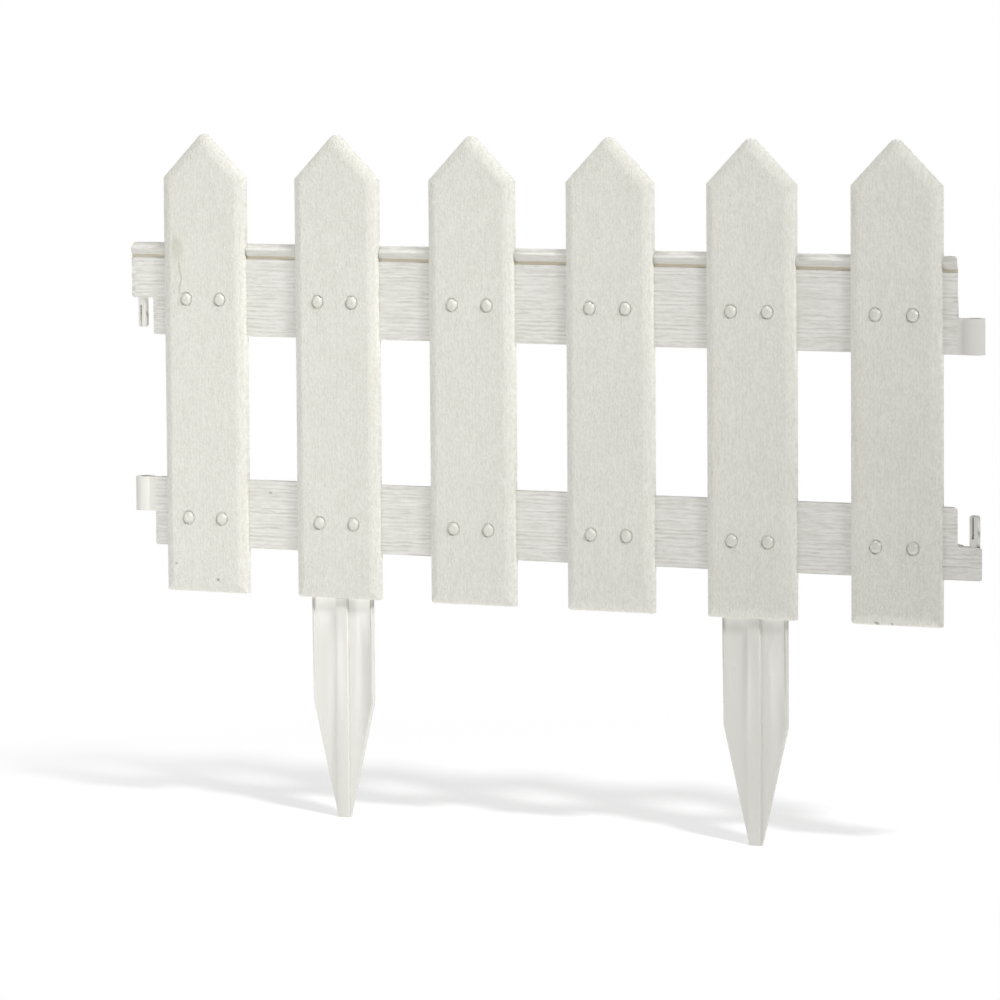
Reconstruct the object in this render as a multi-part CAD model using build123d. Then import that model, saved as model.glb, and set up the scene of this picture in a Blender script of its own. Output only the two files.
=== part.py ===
from build123d import *
import math
import os

# Plastic garden edging: six pointed pickets riveted to two hollow-backed rails, with two stakes
# plugged into the bottom rail and snap hinges at the rail ends. Millimetres, +Z up, +X along the
# panel, front towards -Y. The origin is the middle of the left stake's blunt tip.

# Pickets
picket_count = 6
picket_pitch = 98.0
picket_width = 60.5
picket_height = 297.0
picket_wall = 2.0
bevel_width = 6.2
bevel_depth = 3.2
tip_flat = 3.5
picket_rib = 1.6

# Rails
rail_setback = 4.8
rail_depth = 7.4
rail_wall = 2.0
rail_rib = 1.6
rail_past_picket = 40.2
rail_corner = 1.5
top_rail_height = 59.5
bottom_rail_height = 44.0
top_rail_below_rivet = 23.7
bottom_rail_below_rivet = 18.8
lip_height = 7.4
lip_proud = 1.0
lip_slope = 3.6
groove_height = 2.4
groove_depth = 0.7
notch_clearance = 0.25

# Rivets: there are many of them, so they and their holes are drawn with few flat sides
rivet_sides = 12
rivet_spacing = 25.0
bottom_rivet_above_foot = 48.3
rivet_row_gap = 142.0
head_radius = 4.1
head_proud = 1.3
head_sink = 0.6
head_ring_gap = 0.5
head_bevel_width = 1.9
head_bevel_depth = 1.3
shank_radius = 2.0
shank_clearance = 0.12
rivet_grip_radius = 2.6
rivet_tail = 2.8
grip_bevel = 1.0
seat_pad_size = 10.0

# Stakes, plugged into the bottom rail one picket in from each end
stake_inset = 1
stake_width = 44.0
stake_straight = 67.0
stake_taper = 75.0
stake_thickness = 3.0
spine_width = 8.2
spine_proud = 1.8
edge_rib_width = 1.4
edge_rib_proud = 1.2
stake_clearance = 0.3
tongue_gap = 1.9

# Snap hinges at the rail ends
pin_radius = 3.3
pin_length = 19.3
pin_clearance = 0.3
pin_lead = 1.0
pin_slot_width = 1.4
pin_slot_from_base = 5.0
snap_notch_from_base = 9.5
snap_notch_height = 1.6
snap_notch_depth = 0.8
knuckle_wall = 2.7
knuckle_height = 22.2
knuckle_gap = 3.5
neck_depth = 4.0
neck_overlap = 6.0
tab_gap = 1.5

# Levels and depths that follow from the sizes above
foot_z = stake_straight + stake_taper
bottom_rivet_z = foot_z + bottom_rivet_above_foot
top_rivet_z = bottom_rivet_z + rivet_row_gap
bottom_rail_z = bottom_rivet_z - bottom_rail_below_rivet
top_rail_z = top_rivet_z - top_rail_below_rivet
top_rail_top = top_rail_z + top_rail_height
bottom_rail_top = bottom_rail_z + bottom_rail_height

picket_depth = rail_setback + rail_wall
plate_front = spine_proud / 2 - stake_thickness / 2
plate_back = plate_front + stake_thickness
picket_front = plate_front - stake_clearance - picket_depth
picket_back = picket_front + picket_depth
rail_front = picket_front + rail_setback
rail_web_back = rail_front + rail_wall
rail_back = rail_front + rail_depth
hinge_y = rail_front + rail_depth / 2

# Places along the panel
picket_xs = [(i - stake_inset) * picket_pitch for i in range(picket_count)]
stake_xs = [picket_xs[stake_inset], picket_xs[-1 - stake_inset]]
left_end = picket_xs[0] - rail_past_picket
right_end = picket_xs[-1] + rail_past_picket
bore_radius = pin_radius + pin_clearance
knuckle_radius = bore_radius + knuckle_wall
left_hinge = left_end - knuckle_gap - knuckle_radius
right_hinge = right_end + knuckle_gap + knuckle_radius
tongue_width = rivet_spacing - 2 * (rivet_grip_radius + tongue_gap)


def block(x0, x1, y0, y1, z0, z1):
    solid = Box(x1 - x0, y1 - y0, z1 - z0, align=(Align.MIN, Align.MIN, Align.MIN))
    return Pos(x0, y0, z0) * solid


def upright(y):
    # A plane at depth y whose local x and y run along +X and +Z, and whose normal points to the front
    return Plane(origin=(0, y, 0), x_dir=(1, 0, 0), z_dir=(0, -1, 0))


def flat_face(points):
    return make_face(Polyline(*points, close=True))


def rivet_bar(x, z, radius, y0, y1):
    # A bar with a rivet's flat sides, along Y between two depths
    return extrude(upright(y1) * Pos(x, z) * RegularPolygon(radius, rivet_sides), amount=y1 - y0)


def bevel_end(solid, end, across, along):
    # Bevel one end of an upright prism: across its end face, and along its sides
    face = solid.faces().sort_by(Axis.Y)[end]
    return chamfer(face.edges(), across, along, reference=face)


def picket_outline():
    half = picket_width / 2
    apex = picket_height + tip_flat / 2
    shoulder = apex - half
    return flat_face([(-half, 0), (half, 0), (half, shoulder), (0, apex), (-half, shoulder)])


def picket_blank():
    blank = extrude(upright(picket_back) * Pos(0, foot_z) * picket_outline(), amount=picket_depth)
    blank = bevel_end(blank, 0, bevel_width, bevel_depth)
    top = foot_z + picket_height
    return blank & block(-picket_width, picket_width, picket_front, picket_back, foot_z, top)


def picket_ribs():
    # Cross ribs inside the shell, clear of both rails
    half = picket_width / 2 - picket_wall / 2
    gap = top_rail_z - bottom_rail_top
    shoulder_z = foot_z + picket_height + tip_flat / 2 - picket_width / 2
    levels = [(foot_z + bottom_rail_z) / 2,
              bottom_rail_top + gap / 3,
              bottom_rail_top + gap * 2 / 3,
              (top_rail_top + shoulder_z) / 2]
    ribs = []
    for z in levels:
        ribs.append(block(-half, half, picket_front + picket_wall / 2, picket_back,
                          z - picket_rib / 2, z + picket_rib / 2))
    return ribs


def rail_space(z0, z1, lip_z=None):
    # The room a rail takes behind a picket: seated on its face, clear above and below
    reach = picket_width
    space = block(-reach, reach, rail_front, rail_back, z0 - notch_clearance, z1 + notch_clearance)
    if lip_z is not None:
        lip_front = rail_front - lip_proud - notch_clearance
        lip_top = z1 + notch_clearance
        space += block(-reach, reach, lip_front, rail_back, lip_z - notch_clearance, lip_top)
        space -= lip_wedge(-reach, reach, lip_front, lip_top)
    return space


def lip_wedge(x0, x1, front, top):
    # What is taken off a lip's upper front edge, so that it slopes back
    wedge = Plane.YZ * flat_face([(front, top - lip_slope), (front, top), (front + lip_slope, top)])
    return Pos(x0, 0, 0) * extrude(wedge, amount=x1 - x0)


def rivet_places():
    half = rivet_spacing / 2
    return [(side * half, z) for z in (bottom_rivet_z, top_rivet_z) for side in (-1, 1)]


def make_picket():
    blank = picket_blank()
    shell = offset(blank, -picket_wall, openings=blank.faces().sort_by(Axis.Y)[-1],
                   kind=Kind.INTERSECTION)
    for rib in picket_ribs():
        shell += rib & blank
    half_pad = seat_pad_size / 2
    for x, z in rivet_places():
        shell += block(x - half_pad, x + half_pad, picket_front + picket_wall / 2, rail_front,
                       z - half_pad, z + half_pad)
    shell -= rail_space(bottom_rail_z, bottom_rail_top)
    shell -= rail_space(top_rail_z, top_rail_top, top_rail_top - lip_height)
    for x, z in rivet_places():
        shell -= rivet_bar(x, z, head_radius + head_ring_gap, picket_front, picket_front + head_sink)
        shell -= rivet_bar(x, z, shank_radius + shank_clearance, picket_front, picket_back)
    return shell


def make_rivet():
    # Domed head in its recess, plain shank, and a tapered grip behind the rail
    seat = picket_front + head_sink
    head = rivet_bar(0, 0, head_radius, picket_front - head_proud, seat)
    grip = rivet_bar(0, 0, rivet_grip_radius, rail_web_back, rail_web_back + rivet_tail)
    shank = rivet_bar(0, 0, shank_radius, seat, rail_web_back)
    head = bevel_end(head, 0, head_bevel_width, head_bevel_depth)
    grip = bevel_end(grip, -1, grip_bevel, rivet_tail - grip_bevel)
    return head + shank + grip


def make_top_rail():
    z0 = top_rail_z
    z1 = top_rail_top
    tab_z = z0 + knuckle_height + tab_gap
    tab_x = left_hinge - knuckle_radius
    outline = flat_face([(left_end, z0), (right_end, z0), (right_end, z1), (tab_x, z1), (tab_x, tab_z),
                         (left_end, tab_z)])
    rail = hollow_rail(outline, z0, z1)
    rail -= end_opening(right_end - rail_wall, z0, z1)
    rail -= end_opening(tab_x, tab_z, z1)
    rail -= end_opening(left_end, z0, tab_z + rail_wall)
    lip_z = z1 - lip_height
    lip_front = rail_front - lip_proud
    rail += block(tab_x, right_end, lip_front, rail_front + rail_wall / 2, lip_z, z1)
    rail -= lip_wedge(tab_x, right_end, lip_front, z1)
    rail -= block(tab_x, right_end, lip_front, rail_front + groove_depth, lip_z - groove_height, lip_z)
    rail += Pos(left_hinge, hinge_y, tab_z) * Rot(180, 0, 0) * hinge_pin()
    rail = add_knuckle(rail, right_hinge, right_end, z0)
    return drill_rivet_holes(rail, top_rivet_z)


def make_bottom_rail():
    z0 = bottom_rail_z
    z1 = bottom_rail_top
    tab_z = z1 - knuckle_height - tab_gap
    tab_x = right_hinge + knuckle_radius
    outline = flat_face([(left_end, z0), (tab_x, z0), (tab_x, tab_z), (right_end, tab_z), (right_end, z1),
                         (left_end, z1)])
    rail = hollow_rail(outline, z0, z1)
    rail -= end_opening(left_end, z0, z1)
    rail -= end_opening(tab_x - rail_wall, z0, tab_z)
    rail -= end_opening(right_end - rail_wall, tab_z - rail_wall, z1)
    rail += Pos(right_hinge, hinge_y, tab_z) * hinge_pin()
    rail = add_knuckle(rail, left_hinge, left_end, z1 - knuckle_height)
    for x in stake_xs:
        half = tongue_width / 2 + stake_clearance
        rail -= block(x - half, x + half, rail_web_back, plate_back + stake_clearance, z0, z0 + rail_wall)
    return drill_rivet_holes(rail, bottom_rivet_z)


def hollow_rail(outline, z0, z1):
    # A tray open at the back, with upright ribs half way between the pickets
    corners = fillet(outline.vertices(), rail_corner)
    rail = extrude(upright(rail_back) * corners, amount=rail_depth)
    pocket = offset(outline, -rail_wall, kind=Kind.INTERSECTION)
    rail -= extrude(upright(rail_back) * pocket, amount=rail_depth - rail_wall)
    for x in picket_xs[:-1]:
        middle = x + picket_pitch / 2
        rail += block(middle - rail_rib / 2, middle + rail_rib / 2, rail_web_back - rail_wall / 2, rail_back,
                      z0 + rail_wall / 2, z1 - rail_wall / 2)
    return rail


def end_opening(x, z0, z1):
    # A rail's end has no wall behind its front: only its top and bottom walls run on to the end
    return block(x, x + rail_wall, rail_web_back, rail_back, z0 + rail_wall, z1 - rail_wall)


def hinge_pin():
    # A snap pin standing on z 0, split from its tip so that its sides spring, with a notch on its +X side
    root = rail_wall / 2
    pin = Pos(0, 0, -root) * Cylinder(pin_radius, pin_length + root,
                                      align=(Align.CENTER, Align.CENTER, Align.MIN))
    pin = chamfer(pin.edges().sort_by(Axis.Z)[-1], pin_lead)
    pin -= block(-pin_slot_width / 2, pin_slot_width / 2, -pin_radius, pin_radius,
                 pin_slot_from_base, pin_length)
    pin -= block(pin_radius - snap_notch_depth, pin_radius, -pin_radius, pin_radius,
                 snap_notch_from_base, snap_notch_from_base + snap_notch_height)
    return pin


def add_knuckle(rail, x, end_x, z):
    barrel = Pos(x, hinge_y, z) * Cylinder(knuckle_radius, knuckle_height,
                                           align=(Align.CENTER, Align.CENTER, Align.MIN))
    inner_x = end_x + math.copysign(neck_overlap, end_x - x)
    neck = block(min(x, inner_x), max(x, inner_x), rail_front, rail_front + neck_depth, z, z + knuckle_height)
    bore = Pos(x, hinge_y, z) * Cylinder(bore_radius, knuckle_height,
                                         align=(Align.CENTER, Align.CENTER, Align.MIN))
    return rail + (barrel + neck) - bore


def drill_rivet_holes(rail, z):
    for x in picket_xs:
        for side in (-1, 1):
            rail -= rivet_bar(x + side * rivet_spacing / 2, z, shank_radius + shank_clearance,
                              rail_front, rail_web_back)
    return rail


def make_stake():
    half = stake_width / 2
    tip = spine_width / 2
    tongue = tongue_width / 2
    shoulder = bottom_rail_z
    tongue_top = bottom_rail_top - rail_wall - stake_clearance
    outline = flat_face([(-tip, 0), (tip, 0), (half, stake_taper), (half, shoulder), (tongue, shoulder),
                         (tongue, tongue_top), (-tongue, tongue_top), (-tongue, shoulder),
                         (-half, shoulder), (-half, stake_taper)])
    stake = extrude(upright(plate_back) * outline, amount=stake_thickness)
    rib_top = foot_z - stake_clearance
    stake += block(-tip, tip, plate_front - spine_proud, plate_front, 0, rib_top)
    for side in (-1, 1):
        outer = side * half
        inner = side * (half - edge_rib_width)
        wedge = Plane.YZ * flat_face([(plate_front, stake_taper), (plate_front, rib_top),
                                      (plate_front - edge_rib_proud, rib_top)])
        stake += Pos(min(outer, inner), 0, 0) * extrude(wedge, amount=edge_rib_width)
    return stake


def save(shape, node):
    export_step(shape, "parts/" + node + ".step")


os.makedirs("parts", exist_ok=True)
save(make_top_rail(), "top_rail")
save(make_bottom_rail(), "bottom_rail")

picket = make_picket()
for i, x in enumerate(picket_xs):
    save(Pos(x, 0, 0) * picket, "picket_%d" % (i + 1))

stake = make_stake()
for name, x in zip(("left", "right"), stake_xs):
    save(Pos(x, 0, 0) * stake, "stake_" + name)

rivet = make_rivet()
for i, x in enumerate(picket_xs):
    for rail, z in (("bottom", bottom_rivet_z), ("top", top_rivet_z)):
        pair = [Pos(x + side * rivet_spacing / 2, 0, z) * rivet for side in (-1, 1)]
        save(Compound(children=pair), "rivets_%d_%s" % (i + 1, rail))
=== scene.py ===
import math

import bmesh
import bpy
from mathutils import Matrix, Vector


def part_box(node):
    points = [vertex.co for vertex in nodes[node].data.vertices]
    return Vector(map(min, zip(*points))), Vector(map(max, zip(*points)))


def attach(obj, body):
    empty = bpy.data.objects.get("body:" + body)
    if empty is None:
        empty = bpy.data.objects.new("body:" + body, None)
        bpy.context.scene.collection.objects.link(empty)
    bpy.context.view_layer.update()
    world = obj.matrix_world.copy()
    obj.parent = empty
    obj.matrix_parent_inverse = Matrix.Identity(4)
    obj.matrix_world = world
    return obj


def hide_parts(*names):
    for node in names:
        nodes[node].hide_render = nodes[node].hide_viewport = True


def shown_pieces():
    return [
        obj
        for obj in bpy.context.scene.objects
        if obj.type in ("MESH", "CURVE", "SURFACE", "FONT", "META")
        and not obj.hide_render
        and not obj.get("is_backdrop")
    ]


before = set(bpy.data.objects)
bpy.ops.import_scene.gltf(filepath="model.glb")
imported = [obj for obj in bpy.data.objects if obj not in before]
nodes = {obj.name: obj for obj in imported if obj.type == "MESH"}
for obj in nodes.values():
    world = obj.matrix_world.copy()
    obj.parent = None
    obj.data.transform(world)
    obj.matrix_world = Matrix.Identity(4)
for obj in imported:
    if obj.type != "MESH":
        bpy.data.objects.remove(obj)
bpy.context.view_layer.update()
mm = 0.001
print("frame loaded with", len(nodes), "nodes")


def linearColour(hexText):
    channels = [int(hexText[i:i + 2], 16) / 255 for i in (0, 2, 4)]
    curve = [c / 12.92 if c <= 0.04045 else ((c + 0.055) / 1.055) ** 2.4 for c in channels]
    return (*curve, 1.0)


def addNode(tree, kind, inputs=None, **settings):
    node = tree.nodes.new(kind)
    for name, value in settings.items():
        setattr(node, name, value)
    for key, value in (inputs or {}).items():
        if isinstance(value, bpy.types.NodeSocket):
            tree.links.new(value, node.inputs[key])
        else:
            node.inputs[key].default_value = value
    return node


def perMillimetre(*sizes):
    return tuple(1 / (size * mm) for size in sizes)


def newMaterial(name):
    material = bpy.data.materials.new(name)
    material.use_nodes = True
    tree = material.node_tree
    tree.nodes.clear()
    return material, tree


# camera, standing to the right of the panel and a little above it
cameraValues = {
    "place": (1.91046, -3.32368, 0.54329),
    "right": (0.88013583, 0.47466549, -0.00732097),
    "up": (-0.03542486, 0.08104859, 0.99608042),
    "ahead": (-0.47339836, 0.87642672, -0.08814873),
    "lens": 216.0,
    "sensor": 36.0,
    "farthest": 60.0,
}


def makeCamera(values):
    data = bpy.data.cameras.new("panelCamera")
    data.sensor_width = values["sensor"]
    data.lens = values["lens"]
    data.clip_end = values["farthest"]
    camera = bpy.data.objects.new("panelCamera", data)
    bpy.context.scene.collection.objects.link(camera)
    turn = Matrix((values["right"], values["up"], -Vector(values["ahead"]))).transposed().to_4x4()
    camera.matrix_world = Matrix.Translation(values["place"]) @ turn
    bpy.context.scene.camera = camera


makeCamera(cameraValues)
bpy.context.scene.view_settings.view_transform = "Standard"
print("camera set")


# wood grain as a height between 0 and 1: stretched noise cut by thin wandering valleys, broken here and there
valleyValues = {"thinness": 0.4, "level": 0.7, "breakScale": 0.45, "breakRange": (0.35, 0.65)}


def grainField(tree, place, across, lineWay, wander, lineShare, driftShare):
    stretched = addNode(tree, "ShaderNodeVectorMath", {0: place, 1: across}, operation="MULTIPLY")
    drift = addNode(tree, "ShaderNodeTexNoise", {
        "Vector": stretched.outputs[0], "Scale": 1.0, "Detail": 3.0, "Roughness": 0.55, "Distortion": 0.35})
    breaks = addNode(tree, "ShaderNodeTexNoise", {
        "Vector": stretched.outputs[0], "Scale": valleyValues["breakScale"], "Detail": 1.0})
    ramp = addNode(tree, "ShaderNodeVectorMath", {0: place, 1: lineWay}, operation="DOT_PRODUCT")
    bent = addNode(tree, "ShaderNodeMath", {
        0: drift.outputs[0], 1: wander, 2: ramp.outputs["Value"]}, operation="MULTIPLY_ADD")
    turned = addNode(tree, "ShaderNodeMath", {0: bent.outputs[0], 1: 2 * math.pi}, operation="MULTIPLY")
    wave = addNode(tree, "ShaderNodeMath", {0: turned.outputs[0]}, operation="SINE")
    raised = addNode(tree, "ShaderNodeMath", {0: wave.outputs[0], 1: 0.5, 2: 0.5}, operation="MULTIPLY_ADD")
    thin = addNode(tree, "ShaderNodeMath", {
        0: raised.outputs[0], 1: valleyValues["thinness"]}, operation="POWER")
    valleys = addNode(tree, "ShaderNodeMath", {
        0: thin.outputs[0], 1: valleyValues["level"]}, operation="SUBTRACT")
    breakLow, breakHigh = valleyValues["breakRange"]
    strength = addNode(tree, "ShaderNodeMapRange", {
        "Value": breaks.outputs[0], "From Min": breakLow, "From Max": breakHigh,
        "To Min": 0.0, "To Max": lineShare})
    calm = addNode(tree, "ShaderNodeMix", {
        "Factor": driftShare, "A": 0.5, "B": drift.outputs[0]}, data_type="FLOAT")
    field = addNode(tree, "ShaderNodeMath", {
        0: valleys.outputs[0], 1: strength.outputs[0], 2: calm.outputs["Result"]}, operation="MULTIPLY_ADD")
    return field.outputs[0]


# ranges and sizes that the finishes share
skinValues = {
    "cloudSize": 38.0,
    "mottle": (0.985, 1.01),
    "toneRange": (0.36, 0.58),
    "noiseRange": (0.3, 0.7),
    "wobbleSize": 9.0,
    "spotRange": (0.02, 0.3),
    "ior": 1.49,
}


# moulded polypropylene with a wood grain: satin, off-white, fine lines along the board and a pebbled skin,
# its pebbles drawn coarser than the real ones so that they show
grainValues = {
    "picket": {
        "name": "polypropyleneMouldedPicket",
        "pale": "EDECE4",
        "deep": "DDDBD0",
        "grainSize": (1.5, 30.0, 14.0),
        "lineWay": (1 / 2.4, 0.0, 0.0),
        "wander": 2.2,
        "lineShare": 0.26,
        "driftShare": 0.40,
        "fineSize": (0.85, 12.0, 2.2),
        "fineShare": 0.60,
        "fineHeight": 0.34,
        "pebbleSize": 1.0,
        "pebbleHeight": 0.44,
        "spotWobble": 5.0,
        "roughness": (0.42, 0.58),
        "marksAndPaintedShade": [
            {"at": (-117.6, -7.7, 365.0), "size": (6.6, 30.0, 10.5), "colour": "C6C8B6", "share": 0.55},
            {"at": (-115.2, -7.7, 347.0), "size": (0.9, 30.0, 16.0), "colour": "B9BAA6", "share": 0.6},
            {"at": (-88.9, -7.7, 150.2), "size": (1.7, 30.0, 1.3), "colour": "77735F", "share": 0.7},
            {"at": (-119.8, -6.1, 159.3), "size": (1.2, 30.0, 1.2), "colour": "8A8672", "share": 0.6},
            {"at": (379.3, -5.1, 143.2), "size": (2.2, 30.0, 1.4), "colour": "857F69", "share": 0.7},
            {"at": (389.5, -5.1, 143.0), "size": (1.6, 30.0, 1.2), "colour": "857F69", "share": 0.6},
        ],
        "plainBoxes": [],
        "plainTone": 0.0,
    },
    "rail": {
        "name": "polypropyleneMouldedRail",
        "pale": "EEEDE7",
        "deep": "D5D3CB",
        "grainSize": (20.0, 12.0, 2.4),
        "lineWay": (0.0, 0.0, 1 / 2.6),
        "wander": 1.5,
        "lineShare": 0.42,
        "driftShare": 0.5,
        "fineSize": (6.0, 6.0, 0.9),
        "fineShare": 0.35,
        "fineHeight": 0.45,
        "pebbleSize": 1.1,
        "pebbleHeight": 0.20,
        "spotWobble": 0.0,
        "roughness": (0.45, 0.6),
        "marksAndPaintedShade": [
            {"at": (-51.3, -2.9, 208.0), "size": (1.5, 20.0, 1.2), "colour": "8A8672", "share": 0.6},
            # painted shade: a brownish band along the groove under the lip, standing in for the groove's
            # shadow
            {"at": (147.0, -2.2, 359.5), "size": (900.0, 0.72, 2.2), "colour": "D0C7B3", "share": 1.0},
            # painted shade: a grey band on the lower front of the lip, where it turns away from the light
            {"at": (147.0, -3.4, 362.2), "size": (900.0, 1.3, 2.9), "colour": "CFCEC6", "share": 0.6},
        ],
        "plainBoxes": [
            {"low": (-160.0, -12.0, 300.0), "high": (-138.2, 12.0, 332.2)},
            {"low": (-160.0, -12.0, 185.0), "high": (-138.2, 12.0, 220.0)},
            {"low": (432.2, -12.0, 300.0), "high": (455.0, 12.0, 340.0)},
            {"low": (432.2, -12.0, 191.9), "high": (455.0, 12.0, 220.0)},
        ],
        "plainTone": 0.5,
    },
}


# 1 outside a box and 0 inside it at any depth, times what earlier boxes gave
def outsideBox(tree, place, box, soFar):
    low, high = Vector(box["low"]) * mm, Vector(box["high"]) * mm
    half = (high - low) / 2
    shift = addNode(tree, "ShaderNodeVectorMath", {0: place, 1: (low + high) / 2}, operation="SUBTRACT")
    shared = addNode(tree, "ShaderNodeVectorMath", {0: shift.outputs[0], 1: half}, operation="DIVIDE")
    away = addNode(tree, "ShaderNodeVectorMath", {0: shared.outputs[0]}, operation="ABSOLUTE")
    parts = addNode(tree, "ShaderNodeSeparateXYZ", {0: away.outputs[0]})
    most = addNode(tree, "ShaderNodeMath", {
        0: parts.outputs["X"], 1: parts.outputs["Z"]}, operation="MAXIMUM")
    outside = addNode(tree, "ShaderNodeMath", {0: most.outputs[0], 1: 1.0}, operation="GREATER_THAN")
    both = addNode(tree, "ShaderNodeMath", {0: soFar, 1: outside.outputs[0]}, operation="MULTIPLY")
    return both.outputs[0]


def grainedPlastic(values):
    material, tree = newMaterial(values["name"])
    noiseLow, noiseHigh = skinValues["noiseRange"]
    place = addNode(tree, "ShaderNodeTexCoord").outputs["Object"]
    lineWay = tuple(part / mm for part in values["lineWay"])
    grain = grainField(tree, place, perMillimetre(*values["grainSize"]), lineWay, values["wander"],
                       values["lineShare"], values["driftShare"])
    along = addNode(tree, "ShaderNodeMapping", {"Vector": place, "Scale": perMillimetre(*values["fineSize"])})
    fine = addNode(tree, "ShaderNodeTexNoise", {
        "Vector": along.outputs[0], "Scale": 1.0, "Detail": 2.0, "Roughness": 0.6, "Distortion": 0.2})
    pebbles = addNode(tree, "ShaderNodeTexNoise", {
        "Vector": place, "Scale": perMillimetre(values["pebbleSize"])[0], "Detail": 2.0, "Roughness": 0.5})
    clouds = addNode(tree, "ShaderNodeTexNoise", {
        "Vector": place, "Scale": perMillimetre(skinValues["cloudSize"])[0], "Detail": 2.0})
    mingled = addNode(tree, "ShaderNodeMix", {
        "Factor": values["fineShare"], "A": grain, "B": fine.outputs[0]}, data_type="FLOAT")
    grained = 1.0
    for box in values["plainBoxes"]:
        grained = outsideBox(tree, place, box, grained)
    plainTone = addNode(tree, "ShaderNodeMapRange", {
        "Value": grained, "To Min": values["plainTone"], "To Max": 0.0}).outputs[0]
    deepest = addNode(tree, "ShaderNodeMath", {0: grained, 1: plainTone}, operation="MAXIMUM")
    toneLow, toneHigh = skinValues["toneRange"]
    depth = addNode(tree, "ShaderNodeMapRange", {
        "Value": mingled.outputs["Result"], "From Min": toneLow, "From Max": toneHigh,
        "To Min": deepest.outputs[0], "To Max": plainTone})
    tone = addNode(tree, "ShaderNodeMix", {
        "Factor": depth.outputs[0], "A": linearColour(values["pale"]), "B": linearColour(values["deep"])},
        data_type="RGBA")
    dullest, brightest = skinValues["mottle"]
    mottle = addNode(tree, "ShaderNodeMapRange", {
        "Value": clouds.outputs[0], "From Min": noiseLow, "From Max": noiseHigh,
        "To Min": dullest, "To Max": brightest})
    colour = addNode(tree, "ShaderNodeMix", {
        "Factor": 1.0, "A": tone.outputs["Result"], "B": mottle.outputs[0]},
        data_type="RGBA", blend_type="MULTIPLY").outputs["Result"]
    wobble = addNode(tree, "ShaderNodeTexNoise", {
        "Vector": place, "Scale": perMillimetre(skinValues["wobbleSize"])[0], "Detail": 2.0})
    sway = addNode(tree, "ShaderNodeVectorMath", {
        0: wobble.outputs["Color"], 1: (0.5, 0.5, 0.5)}, operation="SUBTRACT")
    reach = values["spotWobble"] * mm
    swayed = addNode(tree, "ShaderNodeVectorMath", {
        0: sway.outputs[0], 1: (reach, reach, reach), 2: place}, operation="MULTIPLY_ADD")
    spotLow, spotHigh = skinValues["spotRange"]
    # each entry blends its colour into a soft ragged blot: small dark specks on the boards, and on the rails
    # also two bands of painted shade under the lip
    for spot in values["marksAndPaintedShade"]:
        scale = perMillimetre(*spot["size"])
        shift = tuple(-part * mm * factor for part, factor in zip(spot["at"], scale))
        centred = addNode(tree, "ShaderNodeMapping", {
            "Vector": swayed.outputs[0], "Location": shift, "Scale": scale})
        blot = addNode(tree, "ShaderNodeTexGradient", {
            "Vector": centred.outputs[0]}, gradient_type="SPHERICAL")
        ragged = addNode(tree, "ShaderNodeMath", {0: blot.outputs["Fac"], 1: grain}, operation="MULTIPLY")
        share = addNode(tree, "ShaderNodeMapRange", {
            "Value": ragged.outputs[0], "From Min": spotLow, "From Max": spotHigh,
            "To Min": 0.0, "To Max": spot["share"]})
        colour = addNode(tree, "ShaderNodeMix", {
            "Factor": share.outputs[0], "A": colour, "B": linearColour(spot["colour"])},
            data_type="RGBA").outputs["Result"]
    low, high = values["roughness"]
    satin = addNode(tree, "ShaderNodeMapRange", {
        "Value": pebbles.outputs[0], "From Min": noiseLow, "From Max": noiseHigh,
        "To Min": low, "To Max": high})
    lineBump = addNode(tree, "ShaderNodeBump", {
        "Strength": grained, "Distance": values["fineHeight"] * mm, "Height": fine.outputs[0]})
    skinBump = addNode(tree, "ShaderNodeBump", {
        "Strength": grained, "Distance": values["pebbleHeight"] * mm, "Height": pebbles.outputs[0],
        "Normal": lineBump.outputs[0]})
    plastic = addNode(tree, "ShaderNodeBsdfPrincipled", {
        "Base Color": colour, "Roughness": satin.outputs[0], "IOR": skinValues["ior"],
        "Normal": skinBump.outputs[0]})
    addNode(tree, "ShaderNodeOutputMaterial", {"Surface": plastic.outputs[0]})
    return material


# the same polypropylene from a polished mould: glossier, with only faint flow marks
smoothValues = {
    "stake": {"name": "polypropylenePolishedStake", "pale": "F0EFE9", "deep": "E9E7DF",
              "flowSize": (7.0, 7.0, 40.0), "flowHeight": 0.10, "roughness": (0.26, 0.34)},
    "rivet": {"name": "polypropylenePolishedRivet", "pale": "E1E0D7", "deep": "D7D5CB",
              "flowSize": (2.0, 2.0, 2.0), "flowHeight": 0.03, "roughness": (0.25, 0.32)},
}


def smoothPlastic(values):
    material, tree = newMaterial(values["name"])
    place = addNode(tree, "ShaderNodeTexCoord").outputs["Object"]
    along = addNode(tree, "ShaderNodeMapping", {"Vector": place, "Scale": perMillimetre(*values["flowSize"])})
    flow = addNode(tree, "ShaderNodeTexNoise", {"Vector": along.outputs[0], "Scale": 1.0, "Detail": 2.0})
    colour = addNode(tree, "ShaderNodeMix", {
        "Factor": flow.outputs[0], "A": linearColour(values["pale"]), "B": linearColour(values["deep"])},
        data_type="RGBA")
    low, high = values["roughness"]
    noiseLow, noiseHigh = skinValues["noiseRange"]
    satin = addNode(tree, "ShaderNodeMapRange", {
        "Value": flow.outputs[0], "From Min": noiseLow, "From Max": noiseHigh, "To Min": low, "To Max": high})
    bump = addNode(tree, "ShaderNodeBump", {
        "Strength": 1.0, "Distance": values["flowHeight"] * mm, "Height": flow.outputs[0]})
    plastic = addNode(tree, "ShaderNodeBsdfPrincipled", {
        "Base Color": colour.outputs["Result"], "Roughness": satin.outputs[0], "IOR": skinValues["ior"],
        "Normal": bump.outputs[0]})
    addNode(tree, "ShaderNodeOutputMaterial", {"Surface": plastic.outputs[0]})
    return material


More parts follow.
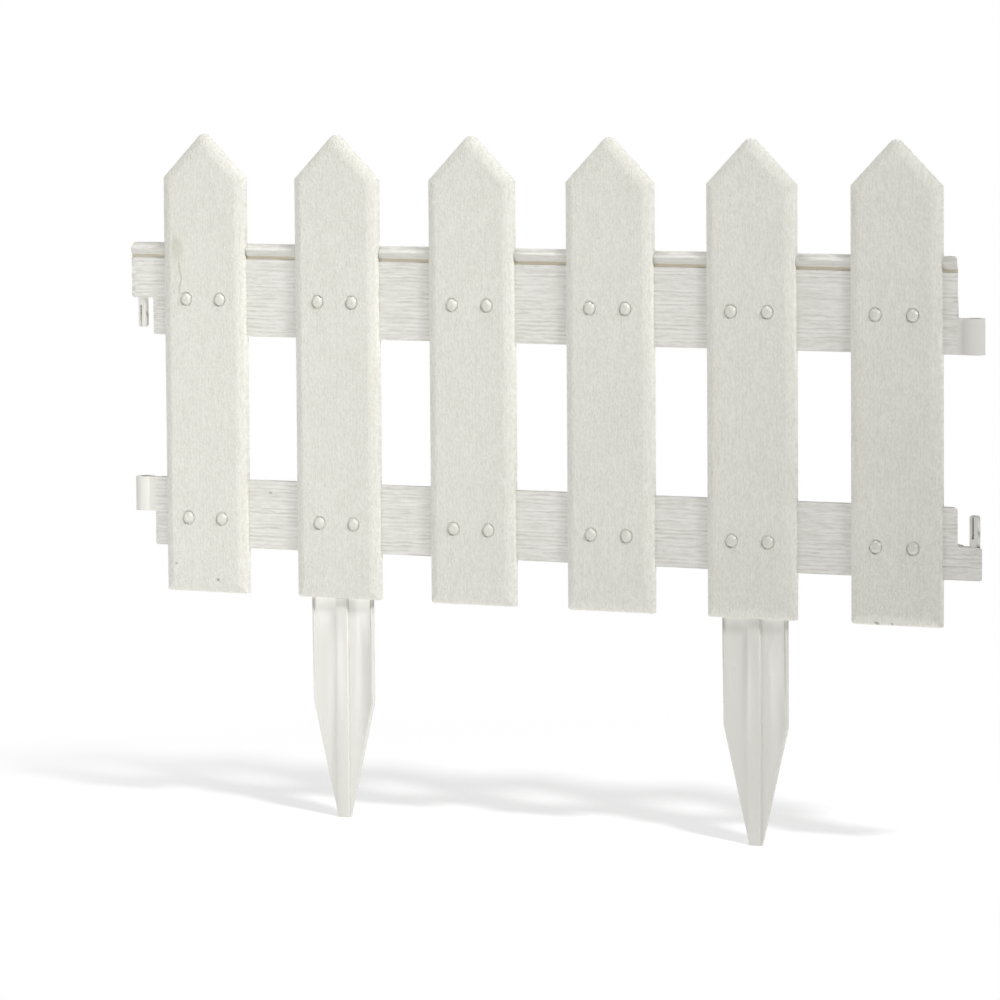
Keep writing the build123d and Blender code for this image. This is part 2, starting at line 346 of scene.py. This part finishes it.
picketPlastic = grainedPlastic(grainValues["picket"])
railPlastic = grainedPlastic(grainValues["rail"])
stakePlastic = smoothPlastic(smoothValues["stake"])
rivetPlastic = smoothPlastic(smoothValues["rivet"])
print("four finishes of polypropylene made")

across = Vector((1, 0, 0))
up = Vector((0, 0, 1))

# limits for work on meshes, in millimetres and degrees, and in metres for tiny and cutDistance
meshValues = {
    "mergeDistance": 0.002,
    "flatAngle": 0.3,
    "holeSlack": 0.03,
    "holeShare": 0.8,
    "tiny": 1e-6,
    "cutDistance": 1e-7,
}


def mergedCopy(name):
    bm = bmesh.new()
    bm.from_mesh(nodes[name].data)
    bmesh.ops.remove_doubles(bm, verts=bm.verts, dist=meshValues["mergeDistance"] * mm)
    flat = math.radians(meshValues["flatAngle"])
    bmesh.ops.dissolve_limit(bm, angle_limit=flat, verts=bm.verts, edges=bm.edges)
    return bm


def stepsBetween(low, high, step):
    count = max(1, round((high - low) / step))
    return [low + (high - low) * i / count for i in range(count + 1)]


def sliceFaces(bm, layer, way, places):
    tiny = meshValues["tiny"]
    for place in places:
        crossing = []
        for face in bm.faces:
            if face[layer]:
                along = [way.dot(v.co) for v in face.verts]
                if min(along) < place - tiny and max(along) > place + tiny:
                    crossing.append(face)
        edges = {e for f in crossing for e in f.edges}
        verts = {v for f in crossing for v in f.verts}
        bmesh.ops.bisect_plane(
            bm, geom=[*verts, *edges, *crossing], dist=meshValues["cutDistance"],
            plane_co=way * place, plane_no=way)


def roundHoles(bm, centres, radius, cuts):
    slack = meshValues["holeSlack"] * mm
    for centreX, centreZ in centres:
        centre = Vector((centreX, 0, centreZ))
        ring = []
        for edge in bm.edges:
            marksAndPaintedShade = [Vector((v.co.x, 0, v.co.z)) - centre for v in edge.verts]
            level = abs(edge.verts[0].co.y - edge.verts[1].co.y) < meshValues["tiny"]
            if level and all(abs(spot.length - radius) < slack for spot in marksAndPaintedShade):
                ring.append(edge)
        made = bmesh.ops.subdivide_edges(bm, edges=ring, cuts=cuts, use_grid_fill=True)
        for vert in {v for v in made["geom_inner"] if isinstance(v, bmesh.types.BMVert)}:
            out = Vector((vert.co.x, 0, vert.co.z)) - centre
            if out.length > meshValues["holeShare"] * radius:
                out = centre + out.normalized() * radius
                vert.co.x, vert.co.z = out.x, out.z


def newPiece(name, mesh, material, slot, *replaced):
    piece = bpy.data.objects.new(name, mesh)
    bpy.context.scene.collection.objects.link(piece)
    if material.name not in mesh.materials:
        mesh.materials.append(material)
    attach(piece, "root")
    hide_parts(*replaced)
    return piece


# set_sharp_from_angle makes every face smooth and marks the edges that stay sharp
def smoothMesh(mesh, angle):
    mesh.set_sharp_from_angle(angle=math.radians(angle))


def bakedNodes(name, mesh, tree, inputs):
    carrier = bpy.data.objects.new(name + "Carrier", mesh)
    bpy.context.scene.collection.objects.link(carrier)
    modifier = carrier.modifiers.new(name, "NODES")
    modifier.node_group = tree
    for item in tree.interface.items_tree:
        if item.in_out == "INPUT" and item.name in inputs:
            modifier[item.identifier] = inputs[item.name]
    graph = bpy.context.evaluated_depsgraph_get()
    made = bpy.data.meshes.new_from_object(carrier.evaluated_get(graph))
    bpy.data.objects.remove(carrier)
    made.name = name
    return made


def newTree(name, inputs):
    tree = bpy.data.node_groups.new(name, "GeometryNodeTree")
    tree.interface.new_socket(name="Geometry", in_out="OUTPUT", socket_type="NodeSocketGeometry")
    tree.interface.new_socket(name="Geometry", in_out="INPUT", socket_type="NodeSocketGeometry")
    for label, kind in inputs.items():
        tree.interface.new_socket(name=label, in_out="INPUT", socket_type=kind)
    return tree, addNode(tree, "NodeGroupInput").outputs


def endTree(tree, geometry, material):
    plain = addNode(tree, "GeometryNodeRealizeInstances", {"Geometry": geometry})
    dressed = addNode(tree, "GeometryNodeSetMaterial", {"Geometry": plain.outputs[0], "Material": material})
    addNode(tree, "NodeGroupOutput", {0: dressed.outputs[0]})


# moulded grain: pushes a board's front in and out along the grain, by the relief stored on its points
def makeGrainTree():
    tree, given = newTree("mouldedGrain", {
        "Across": "NodeSocketVector", "Line Way": "NodeSocketVector", "Wander": "NodeSocketFloat",
        "Line Share": "NodeSocketFloat", "Drift Share": "NodeSocketFloat", "Height": "NodeSocketFloat",
        "Material": "NodeSocketMaterial"})
    place = addNode(tree, "GeometryNodeInputPosition").outputs[0]
    field = grainField(tree, place, given["Across"], given["Line Way"], given["Wander"], given["Line Share"],
                       given["Drift Share"])
    centred = addNode(tree, "ShaderNodeMath", {0: 0.5, 1: field}, operation="SUBTRACT")
    relief = addNode(tree, "GeometryNodeInputNamedAttribute", {"Name": "relief"}, data_type="FLOAT")
    share = addNode(tree, "ShaderNodeMath", {
        0: centred.outputs[0], 1: relief.outputs[0]}, operation="MULTIPLY")
    push = addNode(tree, "ShaderNodeMath", {0: share.outputs[0], 1: given["Height"]}, operation="MULTIPLY")
    offset = addNode(tree, "ShaderNodeCombineXYZ", {"Y": push.outputs[0]})
    moved = addNode(tree, "GeometryNodeSetPosition", {
        "Geometry": given["Geometry"], "Offset": offset.outputs[0]})
    endTree(tree, moved.outputs[0], given["Material"])
    return tree


grainTree = makeGrainTree()


def grainInputs(finish, height, material):
    return {
        "Across": perMillimetre(*finish["grainSize"]),
        "Line Way": tuple(part / mm for part in finish["lineWay"]),
        "Wander": finish["wander"],
        "Line Share": finish["lineShare"],
        "Drift Share": finish["driftShare"],
        "Height": height * mm,
        "Material": material,
    }


# pickets: the front turned into a soft pillowed bevel with a blunt apex, then grained
picketShape = {
    "count": 6,
    "halfWidth": 30.25,
    "height": 297.0,
    "tipHalf": 1.75,
    "bevelReach": 6.6,
    "frontDepth": 3.2,
    "edgeRise": 0.55,
    "edgeReach": 0.28,
    "pillow": 1.6,
    "apexSoft": 3.2,
    "apexDrop": 0.3,
    "apexDeep": 14.0,
    "apexWide": 12.0,
    "cornerRadius": {"left": 2.0, "right": 0.9},
    "acrossStep": 0.5,
    "alongStep": 5.0,
    "edgeStep": 0.8,
    "sideSteps": (0.15, 0.45, 0.9),
    "footSteps": (0.3, 0.8),
    "slopeSteps": (0.15, 0.45, 0.9, 1.5, 2.3, 3.2, 4.2, 5.4, 6.6),
    "tipGap": 0.4,
    "reachMargin": 0.6,
    "shoulderMargin": 8.0,
    "recessRadius": 4.6,
    "recessDepth": 0.6,
    "recessSlack": 0.1,
    "recessCuts": 3,
    "floorSlack": 0.01,
    "frontFacing": 0.2,
    "rivetReach": 6.4,
    "reliefReach": 2.0,
    "grainHeight": 0.18,
    "sharpAngle": 42,
}


def picketEdgeDistance(x, z, values):
    side = values["halfWidth"] - abs(x)
    slope = (values["height"] - z - max(0.0, abs(x) - values["tipHalf"])) * math.sqrt(0.5)
    return min(side, z, slope, values["height"] - z)


def picketRise(distance, values):
    edge = values["edgeRise"] * (1 - math.exp(-distance / values["edgeReach"]))
    reach = max(0.0, 1 - distance / values["bevelReach"])
    return edge + (values["frontDepth"] - values["edgeRise"]) * (1 - reach ** values["pillow"])


def shapePicket(values):
    bm = mergedCopy("picket_1")
    low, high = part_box("picket_1")
    centre = Vector(((low.x + high.x) / 2, 0, low.z))
    bmesh.ops.translate(bm, verts=bm.verts, vec=-centre)
    rivetSpots = []
    for row in ("bottom", "top"):
        rivetLow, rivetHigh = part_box("rivets_1_" + row)
        radius = (rivetHigh.z - rivetLow.z) / 2
        for x in (rivetLow.x + radius, rivetHigh.x - radius):
            rivetSpots.append((x - centre.x, (rivetLow.z + rivetHigh.z) / 2 - centre.z))
    roundHoles(bm, rivetSpots, values["recessRadius"] * mm, values["recessCuts"])
    edgeY = low.y + values["frontDepth"] * mm
    recessFloor = low.y + values["recessDepth"] * mm
    recessInside = (values["recessRadius"] - values["recessSlack"]) * mm
    front = bm.faces.layers.int.new("front")
    for face in bm.faces:
        inRecess = any(
            (Vector((v.co.x, v.co.z)) - Vector(spot)).length < recessInside
            for v in face.verts for spot in rivetSpots)
        onFloor = abs(face.calc_center_median().y - recessFloor) < values["floorSlack"] * mm
        ahead = max(v.co.y for v in face.verts) < edgeY + meshValues["tiny"]
        facing = face.normal.y < -values["frontFacing"]
        face[front] = int(facing and ahead and not inRecess and not onFloor)
    height, half, edgeStep = values["height"], values["halfWidth"], values["edgeStep"]
    shoulder = height - half - values["shoulderMargin"]
    reach = values["bevelReach"] + values["reachMargin"]
    lowest, second = values["footSteps"]
    alongPlaces = [lowest, *stepsBetween(second, reach, edgeStep)]
    alongPlaces += stepsBetween(reach, shoulder, values["alongStep"])[1:]
    alongPlaces += stepsBetween(shoulder, height - values["tipGap"], edgeStep)[1:]
    for rowZ in [z / mm for x, z in rivetSpots[::2]]:
        alongPlaces += stepsBetween(rowZ - values["rivetReach"], rowZ + values["rivetReach"], edgeStep)
    sliceFaces(bm, front, up, [z * mm for z in alongPlaces])
    apex = (height + values["tipHalf"]) * math.sqrt(0.5)
    for side in (-1, 1):
        slope = Vector((side, 0, 1)).normalized()
        sliceFaces(bm, front, slope, [(apex - inside) * mm for inside in values["slopeSteps"]])
    outer, middle, inner = (half - step for step in values["sideSteps"])
    acrossPlaces = [-outer, -middle, *stepsBetween(-inner, inner, values["acrossStep"]), middle, outer]
    sliceFaces(bm, front, across, [x * mm for x in acrossPlaces])
    relief = bm.verts.layers.float.new("relief")
    for vert in {v for f in bm.faces if f[front] for v in f.verts}:
        x, z = vert.co.x / mm, vert.co.z / mm
        distance = max(0.0, picketEdgeDistance(x, z, values))
        vert.co.y = edgeY - picketRise(distance, values) * mm
        away = min((Vector((vert.co.x, vert.co.z)) - Vector(spot)).length / mm for spot in rivetSpots)
        clear = min(1.0, max(0.0, away - values["recessRadius"]))
        vert[relief] = min(1.0, distance / values["reliefReach"]) * clear
    soft = values["apexSoft"]
    for vert in bm.verts:
        x, z = vert.co.x / mm, vert.co.z / mm
        corner = values["cornerRadius"]["left" if x < 0 else "right"]
        sharp = height - max(0.0, abs(x) - values["tipHalf"])
        blunt = height - values["apexDrop"] + soft - math.hypot(x, soft)
        near = max(0.0, 1 - (sharp - z) / values["apexDeep"])
        central = max(0.0, 1 - abs(x) / values["apexWide"])
        vert.co.z -= max(0.0, sharp - blunt) * central * near * mm
        fromSide, fromFoot = half - abs(x), z
        if fromSide < corner and fromFoot < corner:
            sideways, down = 1 - fromSide / corner, 1 - fromFoot / corner
            shrink = max(sideways, down) / max(meshValues["tiny"], math.hypot(sideways, down))
            vert.co.x = math.copysign((half - corner + sideways * shrink * corner) * mm, x)
            vert.co.z = (corner - down * shrink * corner) * mm
    mesh = bpy.data.meshes.new("picketBlank")
    bm.to_mesh(mesh)
    bm.free()
    return mesh


def makePickets(values):
    blank = shapePicket(values)
    for number in range(1, values["count"] + 1):
        name = f"picket_{number}"
        low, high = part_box(name)
        moved = blank.copy()
        moved.transform(Matrix.Translation(((low.x + high.x) / 2, 0, low.z)))
        mesh = bakedNodes(f"picketShell_{number}", moved, grainTree, grainInputs(
            grainValues["picket"], values["grainHeight"], picketPlastic))
        smoothMesh(mesh, values["sharpAngle"])
        newPiece(f"picketShell_{number}", mesh, picketPlastic, "grained_picket", name)
    print("pickets made,", len(mesh.polygons), "faces each")


makePickets(picketShape)


# rails: the flat front and the lip sliced finely along the grain, their long edges eased,
# and the open wall ends, given by their x and z limits, slanted back behind the board
railShape = {
    "acrossStep": 0.5,
    "alongStep": 4.0,
    "ease": 0.45,
    "easeSteps": 2,
    "easeLength": 10.0,
    "easeAngle": 0.6,
    "frontLimit": -2.5,
    "frontFacing": 0.99,
    "lipFacing": 0.6,
    "lipSlack": 0.02,
    "lipRound": 0.6,
    "lipSteps": 3,
    "lipLength": 100.0,
    "lipTilt": 0.9,
    "lipZ": (360.7, 364.5),
    "lipEnd": 1.1,
    "grainHeight": 0.42,
    "sharpAngle": 42,
    "endSlant": 0.66,
    "endFrom": 1.0,
    "openEnds": {
        "top_rail": [
            {"low": (430.0, 333.0), "high": (433.0, 370.0)},
        ],
        "bottom_rail": [
            {"low": (430.0, 192.5), "high": (433.0, 216.0)},
            {"low": (446.0, 171.0), "high": (449.0, 192.5)},
        ],
    },
}


def insideLimits(x, z, limits):
    (lowX, lowZ), (highX, highZ) = limits["low"], limits["high"]
    return lowX < x < highX and lowZ < z < highZ


def makeRail(name, pieceName, values):
    bm = mergedCopy(name)
    low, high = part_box(name)
    front = bm.faces.layers.int.new("front")
    for face in bm.faces:
        facing = face.normal.y < -values["frontFacing"]
        face[front] = int(facing and face.calc_center_median().y < values["frontLimit"] * mm)
    boardY = max(f.calc_center_median().y for f in bm.faces if f[front])
    for vert in bm.verts:
        x, z, behind = vert.co.x / mm, vert.co.z / mm, vert.co.y - boardY
        for limits in values["openEnds"][name]:
            if behind > values["endFrom"] * mm and insideLimits(x, z, limits):
                vert.co.x -= values["endSlant"] * behind
    raised = [f for f in bm.faces if f.normal.z > values["lipFacing"]]
    sloped = [f for f in raised if abs(f.normal.y + f.normal.z) < values["lipSlack"]]
    lip = {e for f in sloped for e in f.edges if e.calc_length() > values["lipLength"] * mm}
    bmesh.ops.bevel(
        bm, geom=list(lip), offset=values["lipRound"] * mm, segments=values["lipSteps"], profile=0.5,
        affect="EDGES", clamp_overlap=True)
    long = [e for e in bm.edges if e.calc_length() > values["easeLength"] * mm]
    rounded = [e for e in long if e.calc_face_angle(0) > values["easeAngle"]
               and any(f[front] for f in e.link_faces)]
    bmesh.ops.bevel(
        bm, geom=rounded, offset=values["ease"] * mm, segments=values["easeSteps"], profile=0.5,
        affect="EDGES", clamp_overlap=True)
    upPlaces = stepsBetween(low.z / mm, high.z / mm, values["acrossStep"])
    alongPlaces = stepsBetween(low.x / mm, high.x / mm, values["alongStep"])
    sliceFaces(bm, front, up, [z * mm for z in upPlaces])
    sliceFaces(bm, front, across, [x * mm for x in alongPlaces])
    relief = bm.verts.layers.float.new("relief")
    plain = [(Vector(box["low"]) * mm, Vector(box["high"]) * mm) for box in grainValues["rail"]["plainBoxes"]]
    lipLow, lipHigh = (z * mm for z in values["lipZ"])
    for vert in bm.verts:
        share = (lipHigh - vert.co.z) / (lipHigh - lipLow)
        if vert.co.y < boardY and 0.0 < share < values["lipEnd"]:
            vert.co.y += values["lipTilt"] * share * (boardY - vert.co.y)
        clip = any(a.x < vert.co.x < b.x and a.z < vert.co.z < b.z for a, b in plain)
        vert[relief] = float(not clip and all(f[front] for f in vert.link_faces))
    mesh = bpy.data.meshes.new(pieceName + "Blank")
    bm.to_mesh(mesh)
    bm.free()
    made = bakedNodes(pieceName, mesh, grainTree, grainInputs(
        grainValues["rail"], values["grainHeight"], railPlastic))
    smoothMesh(made, values["sharpAngle"])
    newPiece(pieceName, made, railPlastic, "grained_rail", name)
    print(pieceName, "made,", len(made.polygons), "faces")


makeRail("top_rail", "topRail", railShape)
makeRail("bottom_rail", "bottomRail", railShape)


# stakes: smooth plates with their long edges eased
stakeShape = {"ease": 0.35, "easeSteps": 2, "easeLength": 4.0, "easeAngle": 0.5, "sharpAngle": 42}


def makeStake(name, pieceName, values):
    bm = mergedCopy(name)
    long = [e for e in bm.edges if e.calc_length() > values["easeLength"] * mm]
    rounded = [e for e in long if e.calc_face_angle(0) > values["easeAngle"]]
    bmesh.ops.bevel(
        bm, geom=rounded, offset=values["ease"] * mm, segments=values["easeSteps"], profile=0.5,
        affect="EDGES", clamp_overlap=True)
    mesh = bpy.data.meshes.new(pieceName)
    bm.to_mesh(mesh)
    bm.free()
    smoothMesh(mesh, values["sharpAngle"])
    newPiece(pieceName, mesh, stakePlastic, "smooth_stake", name)


makeStake("stake_left", "leftStake", stakeShape)
makeStake("stake_right", "rightStake", stakeShape)
print("stakes made")


# push rivets: a low dome with a faint gate mark, a shank and a gripping tail, on points read from the frame
rivetShape = {
    "Head Radius": 3.9,
    "Dome Height": 1.9,
    "Flat Radius": 1.9,
    "Dome Fall": 1.35,
    "Sunk": 0.5,
    "Skirt": 0.1,
    "Mark Radius": 1.3,
    "Mark Depth": 0.16,
    "Shank Radius": 2.0,
    "Shank Length": 5.9,
    "Tail Radius": 2.6,
    "Tail Length": 2.8,
}
rivetMesh = {
    "around": 40,
    "domeRows": 12,
    "skirtRows": 2,
    "shankSides": 24,
    "mergeDistance": 0.001,
    "sharpAngle": 50,
}


def makeRivetTree(values):
    tree, given = newTree("pushRivets", {
        **{label: "NodeSocketFloat" for label in values}, "Material": "NodeSocketMaterial"})
    rows = rivetMesh["domeRows"] + rivetMesh["skirtRows"]
    skirtEnd = rows / rivetMesh["domeRows"]
    sheet = addNode(tree, "GeometryNodeMeshGrid", {
        "Size X": 1.0, "Size Y": 1.0, "Vertices X": rivetMesh["around"] + 1, "Vertices Y": rows + 1})
    place = addNode(tree, "ShaderNodeSeparateXYZ", {0: addNode(tree, "GeometryNodeInputPosition").outputs[0]})
    angle = addNode(tree, "ShaderNodeMath", {0: place.outputs["X"], 1: 2 * math.pi}, operation="MULTIPLY")
    down = addNode(tree, "ShaderNodeMapRange", {
        "Value": place.outputs["Y"], "From Min": -0.5, "From Max": 0.5, "To Min": 0.0, "To Max": skirtEnd})
    dome = addNode(tree, "ShaderNodeMath", {0: down.outputs[0], 1: 1.0}, operation="MINIMUM")
    bend = addNode(tree, "ShaderNodeMath", {0: dome.outputs[0], 1: math.pi / 2}, operation="MULTIPLY")
    sine = addNode(tree, "ShaderNodeMath", {0: bend.outputs[0]}, operation="SINE")
    radius = addNode(tree, "ShaderNodeMath", {
        0: sine.outputs[0], 1: given["Head Radius"]}, operation="MULTIPLY")
    shoulder = addNode(tree, "ShaderNodeMapRange", {
        "Value": radius.outputs[0], "From Min": given["Flat Radius"], "From Max": given["Head Radius"]})
    fall = addNode(tree, "ShaderNodeMath", {
        0: shoulder.outputs[0], 1: given["Dome Fall"]}, operation="POWER")
    left = addNode(tree, "ShaderNodeMath", {0: 1.0, 1: fall.outputs[0]}, operation="SUBTRACT")
    crown = addNode(tree, "ShaderNodeMath", {
        0: left.outputs[0], 1: given["Dome Height"]}, operation="MULTIPLY")
    skirt = addNode(tree, "ShaderNodeMapRange", {
        "Value": down.outputs[0], "From Min": 1.0, "From Max": skirtEnd,
        "To Min": 0.0, "To Max": given["Skirt"]})
    mark = addNode(tree, "ShaderNodeMapRange", {
        "Value": radius.outputs[0], "From Min": 0.0, "From Max": given["Mark Radius"],
        "To Min": given["Mark Depth"], "To Max": 0.0}, interpolation_type="SMOOTHSTEP")
    lowered = addNode(tree, "ShaderNodeMath", {
        0: crown.outputs[0], 1: mark.outputs[0]}, operation="SUBTRACT")
    raised = addNode(tree, "ShaderNodeMath", {
        0: skirt.outputs[0], 1: lowered.outputs[0]}, operation="SUBTRACT")
    level = addNode(tree, "ShaderNodeMath", {0: raised.outputs[0], 1: given["Sunk"]}, operation="ADD")
    turnCos = addNode(tree, "ShaderNodeMath", {0: angle.outputs[0]}, operation="COSINE")
    turnSin = addNode(tree, "ShaderNodeMath", {0: angle.outputs[0]}, operation="SINE")
    x = addNode(tree, "ShaderNodeMath", {0: radius.outputs[0], 1: turnCos.outputs[0]}, operation="MULTIPLY")
    z = addNode(tree, "ShaderNodeMath", {0: radius.outputs[0], 1: turnSin.outputs[0]}, operation="MULTIPLY")
    point = addNode(tree, "ShaderNodeCombineXYZ", {
        "X": x.outputs[0], "Y": level.outputs[0], "Z": z.outputs[0]})
    head = addNode(tree, "GeometryNodeSetPosition", {
        "Geometry": sheet.outputs[0], "Position": point.outputs[0]})
    closed = addNode(tree, "GeometryNodeMergeByDistance", {
        "Geometry": head.outputs[0], "Distance": rivetMesh["mergeDistance"] * mm})
    shank = addNode(tree, "GeometryNodeMeshCylinder", {
        "Vertices": rivetMesh["shankSides"], "Radius": given["Shank Radius"], "Depth": given["Shank Length"]})
    tail = addNode(tree, "GeometryNodeMeshCone", {
        "Vertices": rivetMesh["shankSides"], "Radius Top": given["Shank Radius"],
        "Radius Bottom": given["Tail Radius"], "Depth": given["Tail Length"]})
    halfShank = addNode(tree, "ShaderNodeMath", {0: given["Shank Length"], 1: 0.5}, operation="MULTIPLY")
    shankPlace = addNode(tree, "ShaderNodeMath", {
        0: halfShank.outputs[0], 1: given["Skirt"]}, operation="ADD")
    shankAt = addNode(tree, "ShaderNodeCombineXYZ", {"Y": shankPlace.outputs[0]})
    quarter = (math.pi / 2, 0.0, 0.0)
    laidShank = addNode(tree, "GeometryNodeTransform", {
        "Geometry": shank.outputs[0], "Translation": shankAt.outputs[0], "Rotation": quarter})
    tailPlace = addNode(tree, "ShaderNodeMath", {
        0: given["Shank Length"], 1: given["Skirt"]}, operation="ADD")
    tailAt = addNode(tree, "ShaderNodeCombineXYZ", {"Y": tailPlace.outputs[0]})
    laidTail = addNode(tree, "GeometryNodeTransform", {
        "Geometry": tail.outputs[0], "Translation": tailAt.outputs[0], "Rotation": (-math.pi / 2, 0.0, 0.0)})
    whole = addNode(tree, "GeometryNodeJoinGeometry")
    for part in (closed, laidShank, laidTail):
        tree.links.new(part.outputs[0], whole.inputs[0])
    placed = addNode(tree, "GeometryNodeInstanceOnPoints", {
        "Points": given["Geometry"], "Instance": whole.outputs[0]})
    endTree(tree, placed.outputs[0], given["Material"])
    return tree


def makeRivets(values):
    names = sorted(name for name in nodes if name.startswith("rivets_"))
    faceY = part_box("picket_1")[0].y
    marksAndPaintedShade = []
    for name in names:
        low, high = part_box(name)
        radius = (high.z - low.z) / 2
        for x in (low.x + radius, high.x - radius):
            marksAndPaintedShade.append((x, faceY, (low.z + high.z) / 2))
    points = bpy.data.meshes.new("rivetSpots")
    points.from_pydata(marksAndPaintedShade, [], [])
    inputs = {label: size if label == "Dome Fall" else size * mm for label, size in values.items()}
    mesh = bakedNodes("pushRivets", points, makeRivetTree(values), {**inputs, "Material": rivetPlastic})
    fixed = bmesh.new()
    fixed.from_mesh(mesh)
    bmesh.ops.recalc_face_normals(fixed, faces=fixed.faces)
    fixed.to_mesh(mesh)
    fixed.free()
    smoothMesh(mesh, rivetMesh["sharpAngle"])
    newPiece("pushRivets", mesh, rivetPlastic, "smooth_rivet", *names)
    print(len(marksAndPaintedShade), "rivets made")


makeRivets(rivetShape)


# pale floor that keeps the shadow, and the light of a plain studio
studioValues = {
    "floorHalf": 20.0,
    "floorCentre": (0.10, 0.10),
    "floorGlow": 0.76,
    "floorLift": 1.06,
    "shadowShare": 0.36,
    "shadowFade": (0.15, 0.58),
    "worldStrength": 0.05,
}
lamps = [
    {"name": "keySoftbox", "place": (1.66, -1.11, 2.45), "aim": (-0.24, 0.0, 0.12),
     "size": 0.5, "spread": 23.0, "power": 0.31, "lights": "panel"},
    {"name": "grazeSoftbox", "place": (2.30, -0.80, 1.80), "aim": (-0.62, 0.0, -0.08),
     "size": 0.4, "spread": 24.0, "power": 0.96, "lights": "panel"},
    {"name": "overheadSoftbox", "place": (-0.10, -0.12, 2.10), "aim": (0.0, 0.0, 0.25),
     "size": 0.6, "spread": 180.0, "power": 13.2, "lights": "panel"},
    {"name": "lowFill", "place": (-0.50, -0.75, 0.04), "aim": (0.0, 0.0, 0.12),
     "size": 0.4, "spread": 180.0, "power": 2.62, "lights": "panel"},
    {"name": "floorSoftbox", "place": (1.66, -1.11, 2.45), "aim": (0.0, 0.1, 0.0),
     "size": 0.35, "spread": 180.0, "power": 90.0, "lights": "floor"},
]


def pathIsSeen(tree):
    path = addNode(tree, "ShaderNodeLightPath")
    glossy = addNode(tree, "ShaderNodeMath", {
        0: path.outputs["Is Camera Ray"], 1: path.outputs["Is Glossy Ray"]}, operation="MAXIMUM")
    every = addNode(tree, "ShaderNodeMath", {
        0: glossy.outputs[0], 1: path.outputs["Is Transmission Ray"]}, operation="MAXIMUM")
    return every.outputs[0]


def makeFloor(values):
    half = values["floorHalf"]
    centreX, centreY = values["floorCentre"]
    sides = ((-1, -1), (1, -1), (1, 1), (-1, 1))
    corners = [(centreX + sideX * half, centreY + sideY * half, 0.0) for sideX, sideY in sides]
    mesh = bpy.data.meshes.new("studioFloor")
    mesh.from_pydata(corners, [], [(0, 1, 2, 3)])
    floor = bpy.data.objects.new("studioFloor", mesh)
    bpy.context.scene.collection.objects.link(floor)
    material, tree = newMaterial("studioFloorPaper")
    place = addNode(tree, "ShaderNodeTexCoord").outputs["Object"]
    away = addNode(tree, "ShaderNodeVectorMath", {0: place, 1: (centreX, centreY, 0.0)}, operation="DISTANCE")
    near, far = values["shadowFade"]
    nearness = addNode(tree, "ShaderNodeMapRange", {
        "Value": away.outputs["Value"], "From Min": near, "From Max": far,
        "To Min": 1.0, "To Max": 0.0}, interpolation_type="SMOOTHSTEP")
    share = addNode(tree, "ShaderNodeMath", {
        0: nearness.outputs[0], 1: values["shadowShare"]}, operation="MULTIPLY")
    glow = addNode(tree, "ShaderNodeMapRange", {
        "Value": nearness.outputs[0], "To Min": 1.0, "To Max": values["floorGlow"]})
    paper = addNode(tree, "ShaderNodeBsdfDiffuse", {"Color": share.outputs[0]})
    white = addNode(tree, "ShaderNodeEmission", {"Color": (1.0, 1.0, 1.0, 1.0), "Strength": glow.outputs[0]})
    seen = addNode(tree, "ShaderNodeAddShader", {0: paper.outputs[0], 1: white.outputs[0]})
    bounce = addNode(tree, "ShaderNodeEmission", {"Strength": values["floorLift"]})
    surface = addNode(tree, "ShaderNodeMixShader", {
        0: pathIsSeen(tree), 1: bounce.outputs[0], 2: seen.outputs[0]})
    addNode(tree, "ShaderNodeOutputMaterial", {"Surface": surface.outputs[0]})
    mesh.materials.append(material)
    floor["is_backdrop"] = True
    return floor


def makeWorld(values):
    world = bpy.data.worlds.new("studioWorld")
    world.use_nodes = True
    tree = world.node_tree
    tree.nodes.clear()
    white = (1.0, 1.0, 1.0, 1.0)
    ambient = addNode(tree, "ShaderNodeBackground", {"Color": white, "Strength": values["worldStrength"]})
    backdrop = addNode(tree, "ShaderNodeBackground", {"Color": white, "Strength": 1.0})
    mixed = addNode(tree, "ShaderNodeMixShader", {
        0: pathIsSeen(tree), 1: ambient.outputs[0], 2: backdrop.outputs[0]})
    addNode(tree, "ShaderNodeOutputWorld", {"Surface": mixed.outputs[0]})
    bpy.context.scene.world = world


def addSoftbox(values, receivers):
    data = bpy.data.lights.new(values["name"], "AREA")
    data.shape = "DISK"
    data.size = values["size"]
    data.spread = math.radians(values["spread"])
    data.energy = values["power"]
    lamp = bpy.data.objects.new(values["name"], data)
    bpy.context.scene.collection.objects.link(lamp)
    lamp.location = values["place"]
    lamp.rotation_euler = (Vector(values["aim"]) - lamp.location).to_track_quat("-Z", "Y").to_euler()
    lamp.light_linking.receiver_collection = receivers[values["lights"]]


floor = makeFloor(studioValues)
makeWorld(studioValues)
receivers = {"panel": bpy.data.collections.new("litPanel"), "floor": bpy.data.collections.new("litFloor")}
receivers["floor"].objects.link(floor)
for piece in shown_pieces():
    receivers["panel"].objects.link(piece)
for lampValues in lamps:
    addSoftbox(lampValues, receivers)
print("floor and lamps set")
